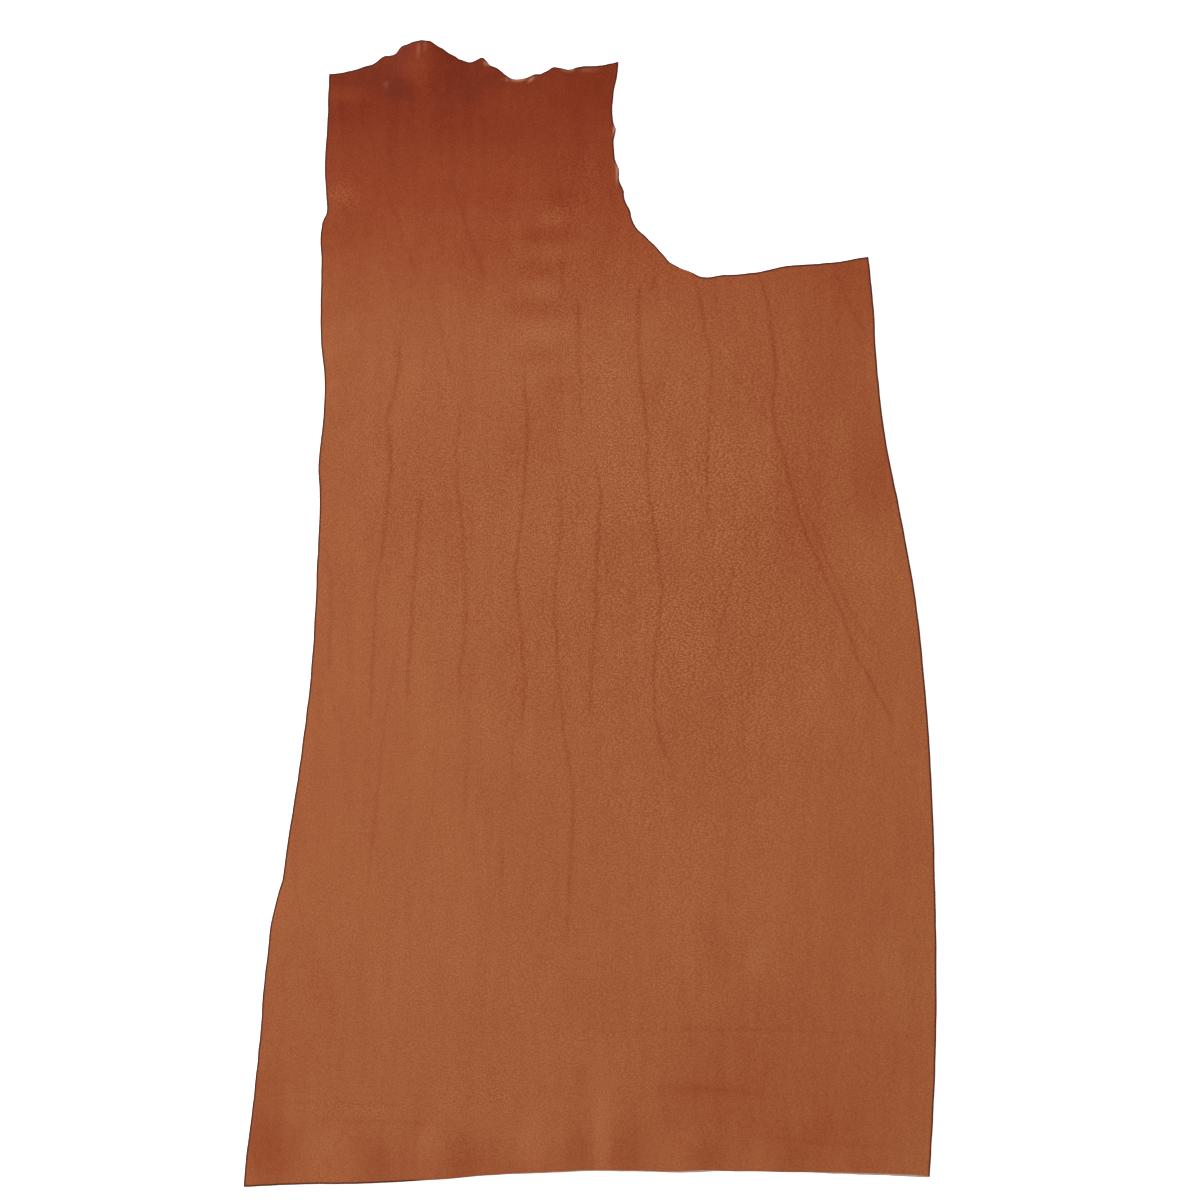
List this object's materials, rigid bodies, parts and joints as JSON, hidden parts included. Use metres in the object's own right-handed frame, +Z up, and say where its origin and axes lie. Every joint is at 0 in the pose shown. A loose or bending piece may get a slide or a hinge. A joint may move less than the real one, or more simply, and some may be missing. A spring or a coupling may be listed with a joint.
{
  "type": "leather hide",
  "caption": "Vegetable-tanned leather hide, a shoulder piece with a ragged neck edge, foreleg notch and straight cut, laid flat grain side up.",
  "frame": {"origin": "on the ground under the middle of the sheet's bounding box", "axes": "+Z up out of the grain side, +Y along the sheet from the knife cut to the neck, +X across it from the spine edge to the belly edge"},
  "size_m": [0.727, 1.2024, 0.007],
  "materials": {
    "leather": "aniline-dyed vegetable-tanned leather, fine pebbled grain with a soft satin sheen"
  },
  "bodies": {
    "root": {"hide": "leather"}
  },
  "joints": []
}
